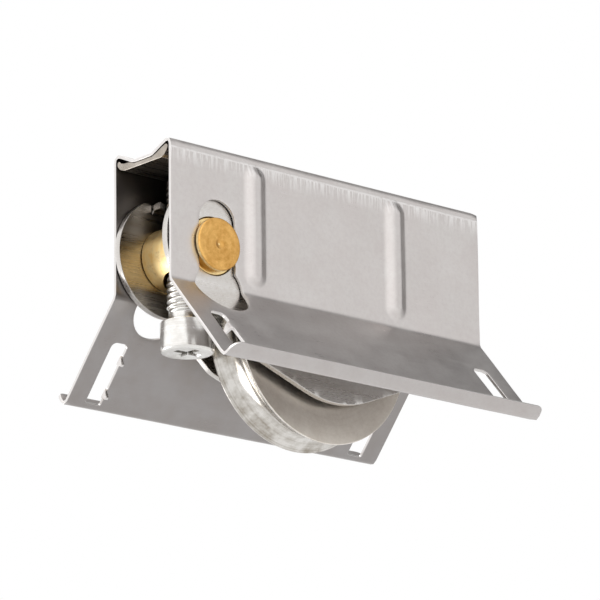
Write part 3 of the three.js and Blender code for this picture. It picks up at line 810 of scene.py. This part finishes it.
def build_arm():
    web_z = ARM_TOP - PLATE / 2
    section = Fold([(0, web_z), (PLATE_MID, web_z, ARM_BEND), (PLATE_MID, ARM_LOW[2] - 5)])
    start, _ = section.straight(1)
    straight_top = web_z - ARM_BEND
    edge = arm_edge(straight_top)
    down = np.column_stack([edge[:, 0], start + straight_top - edge[:, 1]])
    back_arc, front_arc = BARREL[0] + WEB_HOLE_HALF, BARREL[0] - WEB_HOLE_HALF
    mouth = math.degrees(math.acos((WEB_SPAN[0] - front_arc) / WEB_HOLE_RADIUS))
    down = np.vstack([
        down,
        arc((front_arc, 0), WEB_HOLE_RADIUS, mouth, 90, 9),
        arc((back_arc, 0), WEB_HOLE_RADIUS, 90, 0, 21),
    ])
    outer = np.vstack([down, down[-2::-1] * (1, -1)])

    def fold(flat):
        x, s, height = flat.T
        point, normal = section.at(s)
        beyond = (x < WEB_SPAN[0] - RELIEF / 2) | (x > WEB_SPAN[1] + RELIEF / 2)
        loose = beyond & (np.abs(s) < start)
        side = np.sign(s)
        point[loose] = np.column_stack([side[loose] * PLATE_MID, straight_top + start - np.abs(s[loose])])
        normal[loose] = np.column_stack([side[loose], np.zeros(loose.sum())])
        placed = point + normal * height[:, None]
        return np.column_stack([x, placed])

    def hole(centre, radius, side, steps):
        loop = circle((centre[0], start + straight_top - centre[2]), radius, steps)
        return loop * (1, side)

    holes = [hole(BARREL, JOURNAL_RADIUS + 0.1, side, 96) for side in (-1, 1)]
    across = np.linspace(WEB_SPAN[0], WEB_SPAN[1], 14)
    down = section.stations(2.5, 0.2)
    down = down[down < start + 0.5]
    down = np.concatenate([-down[::-1], down[down > 0]])
    step = 1.8
    plate_across = np.arange(ARM_LOW[0], ARM_HIGH[0], step)
    plate_down = np.arange(start + 1.5, start + 34, step)
    plate_down = np.concatenate([-plate_down, plate_down])
    grid = np.vstack([
        np.stack(np.meshgrid(across, down), -1).reshape(-1, 2),
        np.stack(np.meshgrid(plate_across, plate_down), -1).reshape(-1, 2),
    ])
    made = plate("arm_channel", resampled(outer, 1.6), holes, PLATE, 0.1, fold, grid)
    for centre, shank in PINS.values():
        tool = turned("tool", pin_profile(shank + 0.04, 1.0), along_y(centre[0], centre[2]), 64)
        cut_away(made, tool)
    return finish_piece(made, STEEL_PLATE, "arm", ["swing_arm"], 14)


PINS = {"axle_rivet": (AXLE, 2.5), "pivot_pin": (PIVOT, 2.0)}  # centre and shank radius


def pin_profile(shank, extra=0.0):
    """A pin with countersunk ends as (radius, height), made longer by extra at both ends."""
    end = PIN_END[1] + extra
    seat, flared = PIN_END[1] - PIN_FLARE, shank + PIN_FLARE + extra
    half = [(NEAR_AXIS, end), (flared, end), (shank, seat)]
    return [(radius, -height) for radius, height in half] + half[::-1]


def build_pins():
    for name, (centre, shank) in PINS.items():
        body = "arm" if name == "axle_rivet" else "root"
        profile = rounded(pin_profile(shank), 0.12, closed=False)
        matrix = along_y(centre[0], centre[2])
        turned_piece(name + "_turned", profile, matrix, STEEL_RIVET, body, "rivet_steel", [name], segments=64)
    for name in ("spacer_front", "spacer_back"):
        low, high, middle = span(name)
        outer, height = (high[0] - low[0]) / 2, (high[1] - low[1]) / 2
        ring = [(SPACER_BORE, -height), (outer, -height), (outer, height), (SPACER_BORE, height)]
        turned_piece(
            name + "_turned", rounded(ring, 0.15), along_y(AXLE[0], AXLE[2], middle[1]),
            STEEL_RIVET, "arm", "rivet_steel", [name], segments=64, closed=True,
        )


# ---------------------------------------------------------------- adjuster


def build_screw():
    tip, end = SCREW_HIGH[2], SCREW_LOW[2]
    head = (SCREW_HIGH[0] - SCREW_LOW[0]) / 2
    threaded = np.arange(NECK_TOP + 0.1, tip - 0.5, PITCH / 10)
    profile = [(NEAR_AXIS, end + 0.06), (head - 0.75, end), *arc((head - 0.45, end + 0.45), 0.45, -90, 0, 6)]
    profile += [*arc((head - 0.25, HEAD_TOP - 0.25), 0.25, 0, 90, 5), (NECK_RADIUS + 0.2, HEAD_TOP)]
    profile += [(NECK_RADIUS, HEAD_TOP + 0.2), (NECK_RADIUS, NECK_TOP)]
    profile += [(SHANK_RADIUS, z) for z in threaded]
    profile += [(SHANK_RADIUS - 0.7, tip - 0.15), (SHANK_RADIUS - 1.0, tip), (NEAR_AXIS, tip)]

    def thread(radius, z, angles):
        if not NECK_TOP < z < tip - 0.4 or radius < SHANK_RADIUS:
            return np.full(len(angles), max(radius, NEAR_AXIS))
        phase = (z / PITCH - angles / (2 * math.pi)) % 1.0
        flank = np.clip(np.abs(phase - 0.5) * 2.6 - 0.15, 0, 1)
        run_in = smooth((z - NECK_TOP) / 0.8) * smooth((tip - 0.4 - z) / 1.2)
        return radius - THREAD_DEPTH * (1 - run_in * (1 - flank))

    made = turned("screw_turned", profile, along_z(SCREW[0]), 80, reach=thread)
    half, width, deep = 2.6, 0.62, 1.9
    cross = [
        (half, -width), (half, width), (width, width), (width, half), (-width, half), (-width, width),
        (-half, width), (-half, -width), (-width, -width), (-width, -half), (width, -half), (width, -width),
    ]
    cross = rounded(cross, 0.18, 2)
    levels = ((1.02, end - 0.5), (1.0, end), (0.55, end + deep))
    rings = [np.column_stack([cross * scale, np.full(len(cross), z)]) for scale, z in levels]
    cut_away(made, swept("recess", rings, along_z(SCREW[0])))
    return finish_piece(made, STEEL_SCREW, "screw", ["adjusting_screw"], 50)


def build_barrel():
    radius, out = (BARREL_HIGH[0] - BARREL_LOW[0]) / 2, BARREL_HIGH[1]
    half = rounded([
        (NEAR_AXIS, out - 0.35), (0.9, out), (BARREL_HEAD, out), (BARREL_HEAD, BARREL_HEAD_IN),
        (BARREL_NECK, BARREL_HEAD_IN), (BARREL_NECK, JOURNAL_HALF), (JOURNAL_RADIUS, JOURNAL_HALF),
        (JOURNAL_RADIUS, BARREL_HALF), (radius, BARREL_HALF), (radius, 0),
    ], [0, 0.3, 0.32, 0.15, 0.1, 0.1, 0.2, 0.05, 0.25, 0], 4, closed=False)
    profile = np.vstack([half, (half * (1, -1))[::-1][1:]])
    made = turned("barrel_turned", profile, along_y(BARREL[0], BARREL[2]), 112)
    levels = (
        (BORE_RADIUS + 0.5, -radius - 1), (BORE_RADIUS, -radius + 1.2),
        (BORE_RADIUS, radius - 1.2), (BORE_RADIUS + 0.5, radius + 1),
    )
    rings = [np.column_stack([circle((0, 0), r, 72), np.full(72, z)]) for r, z in levels]
    cut_away(made, swept("bore", rings, along_z(BARREL[0], 0, BARREL[2])))
    return finish_piece(made, BRASS, "barrel", ["barrel_nut"], 30)


# ---------------------------------------------------------------- wheel and bearing


def build_wheel():
    radius, half = (WHEEL_HIGH[0] - WHEEL_LOW[0]) / 2, (WHEEL_HIGH[1] - WHEEL_LOW[1]) / 2
    width = half - FLANGE
    across = np.linspace(-1, 1, 25)
    tread = np.column_stack([radius - GROOVE_DEPTH * (1 - across**2) ** 0.9, across * width])
    face = rounded([
        (WHEEL_BORE, 0), (WHEEL_BORE, HUB_HALF), (HUB_RADIUS, HUB_HALF), (HUB_RADIUS + HUB_SLOPE, half),
        (radius - 0.05, half), (radius, width),
    ], [0, 0.2, 0.4, 0.5, 0.12, 0], 4, closed=False)
    profile = np.vstack([face, tread[::-1][1:-1], (face * (1, -1))[::-1][:-1]])
    turned_piece(
        "wheel_turned", profile, along_y(AXLE[0], AXLE[2]),
        STEEL_WHEEL, "wheel", "turned_steel", ["wheel_rim"], segments=192, closed=True,
    )


def race_profile(seat, land, sign, half, pitch):
    """A race's closed profile; sign is 1 when the ball's groove faces the axle, and -1 when it faces out."""
    groove = []
    reach = BALL_RADIUS + BALL_GAP
    limit = math.degrees(math.acos(abs(land - pitch) / reach))
    for angle in np.radians(np.linspace(-limit, limit, 13)):
        groove.append((pitch + sign * reach * math.cos(angle), reach * math.sin(angle)))
    outline = rounded([(seat, 0), (seat, -half), (land, -half)], [0, 0.2, 0.12], 3, closed=False)
    mirrored = (outline * (1, -1))[::-1]
    return np.vstack([outline, groove, mirrored[:-1]])


def build_races(pitch):
    low, high, _ = span("outer_race")
    outer, half = (high[0] - low[0]) / 2, (high[1] - low[1]) / 2
    for name, seat, land, sign, body in (
        ("outer_race", outer, OUTER_LAND, 1, "wheel"), ("inner_race", RACE_BORE, INNER_LAND, -1, "arm"),
    ):
        turned_piece(
            name + "_turned", race_profile(seat, land, sign, half, pitch), along_y(AXLE[0], AXLE[2]),
            STEEL_BEARING, body, "bearing_steel", [name], segments=96, closed=True,
        )


def build_shields():
    for name, side in (("shield_front", -1), ("shield_back", 1)):
        low, high, middle = span(name)
        rim, half = (high[0] - low[0]) / 2, (high[1] - low[1]) / 2
        profile = rounded([
            (SHIELD_BORE, -half), (rim - 0.9, -half), (rim - 0.6, 0), (rim, 0), (rim, half),
            (rim - 0.8, half), (rim - 1.0, 0.0), (SHIELD_BORE, 0.0),
        ], 0.05, 2)
        turned_piece(
            name + "_turned", profile * (1, -side), along_y(AXLE[0], AXLE[2], middle[1]),
            STEEL_BEARING, "wheel", "bearing_steel", [name], segments=96, closed=True,
        )


def build_balls(names):
    angles = np.radians(np.linspace(-90, 90, 21)[1:-1])
    profile = [(BALL_RADIUS * math.cos(angle), BALL_RADIUS * math.sin(angle)) for angle in angles]
    for name in names:
        _, _, centre = span(name)
        turned_piece(
            name + "_ground", profile, along_y(centre[0], centre[2], centre[1]),
            STEEL_BEARING, "cage", "bearing_steel", [name], segments=32,
        )


def build_cage(pitch, count):
    """A crown cage: a ring beside the balls with a finger between each two of them."""
    ring = rounded([(4.7, 1.55), (5.8, 1.55), (5.8, 2.0), (4.7, 2.0)], 0.1)
    made = turned("cage_ring", ring, along_y(AXLE[0], AXLE[2]), 96, closed=True)
    finish_piece(made, CAGE_METAL, "cage", ["ball_cage"])
    outline = rounded([(-0.35, -0.9), (0.35, -0.9), (0.42, 1.7), (-0.42, 1.7)], 0.25)
    for i in range(count):
        middle = 2 * math.pi / count * (i + 0.5)

        def stand(flat, middle=middle):
            across, along, depth = flat.T
            radius = pitch + depth
            x = AXLE[0] + radius * math.cos(middle) - across * math.sin(middle)
            z = AXLE[2] - radius * math.sin(middle) - across * math.cos(middle)
            return np.column_stack([x, along, z])

        finger = plate(f"cage_finger_{i + 1}", outline, [], 0.8, 0.1, stand)
        finish_piece(finger, CAGE_METAL, "cage", ["ball_cage"])


def build_bearing():
    balls = [f"ball_{i}" for i in range(1, 8)]
    _, _, first = span(balls[0])
    pitch = float(np.hypot(first[0] - AXLE[0], first[2] - AXLE[2]))
    build_races(pitch)
    build_shields()
    build_balls(balls)
    build_cage(pitch, len(balls))


build_housing()
build_saddle()
build_arm()
build_pins()
build_screw()
build_barrel()
build_wheel()
build_bearing()


# ---------------------------------------------------------------- camera, floor and light

AZIMUTH, ELEVATION, ROLL = math.radians(-41.423), math.radians(-15.641), math.radians(-0.647)
AIM = Vector((2.6, 3.2, -17.9)) * MM
DISTANCE = 750 * MM
LENS = 258.15


def build_camera():
    data = bpy.data.cameras.new("camera")
    data.lens, data.sensor_width = LENS, 36
    made = bpy.data.objects.new("camera", data)
    bpy.context.scene.collection.objects.link(made)
    level = math.cos(ELEVATION)
    back = Vector((math.sin(AZIMUTH) * level, -math.cos(AZIMUTH) * level, math.sin(ELEVATION)))
    turn = (-back).to_track_quat("-Z", "Y").to_matrix().to_4x4() @ Matrix.Rotation(ROLL, 4, "Z")
    made.matrix_world = Matrix.Translation(AIM + back * DISTANCE) @ turn
    bpy.context.scene.camera = made


def build_floor():
    size, depth = 6.0, -1.6
    corners = [(-size, -size, depth), (size, -size, depth), (size, size, depth), (-size, size, depth)]
    mesh = bpy.data.meshes.new("floor")
    mesh.from_pydata(corners, [], [(0, 1, 2, 3)])
    floor = bpy.data.objects.new("floor", mesh)
    bpy.context.scene.collection.objects.link(floor)
    s = Shader("floor", Roughness=0.9)
    shade = s.add("TexNoise", {"Vector": s.add("TexCoord").outputs["Object"], "Scale": 1.5}).outputs["Fac"]
    s.set("Base Color", s.mix(shade, rgba(0.93, 0.93, 0.93), rgba(0.96, 0.96, 0.96)))
    mesh.materials.append(s.material)


def area_light(name, place, aim, size, power, spread=math.pi):
    data = bpy.data.lights.new(name, "AREA")
    data.shape, data.size, data.size_y = "RECTANGLE", *size
    data.energy, data.spread = power, spread
    made = bpy.data.objects.new(name, data)
    bpy.context.scene.collection.objects.link(made)
    made.location = place
    made.rotation_euler = (Vector(aim) - Vector(place)).to_track_quat("-Z", "Y").to_euler()


def build_light():
    """White surroundings, dimmer high up and far to the right, with a large light above and a low card."""
    world = bpy.data.worlds.new("studio")
    bpy.context.scene.world = world
    world.use_nodes = True
    n = Nodes(world.node_tree)
    direction = n.add("SeparateXYZ", {0: n.add("TexCoord").outputs["Generated"]})
    along, up = direction.outputs[0], direction.outputs[2]
    pivot, slant = 0.637, 1.4  # the edge of the dim part of the sky slants about this X
    tilted = n.math("ADD", up, n.math("MULTIPLY", n.math("SUBTRACT", along, pivot), slant))
    darker_above = n.range(tilted, 0.44, 0.83, 1.0, 0.1)
    brighter_left = n.range(along, -0.6, 0.56, 1.45, 1.0)
    darker_right = n.range(along, 0.76, 0.96, 1.0, 0.68)
    strength = n.math("MULTIPLY", n.math("MULTIPLY", darker_above, brighter_left), darker_right)
    background = world.node_tree.nodes["Background"]
    background.inputs["Color"].default_value = rgba(1.0, 1.0, 1.0)
    world.node_tree.links.new(strength, background.inputs["Strength"])
    area_light("overhead", (-0.5, 0.4, 1.8), (0, 0, 0), (0.9, 0.9), 12)
    card_place, card_aim = (-0.52, 0.82, -0.58), (0, 0, -0.03)
    area_light("low left card", card_place, card_aim, (0.9, 0.5), 1.0, math.radians(60))


build_camera()
build_floor()
build_light()
bpy.context.scene.view_settings.view_transform = "Standard"
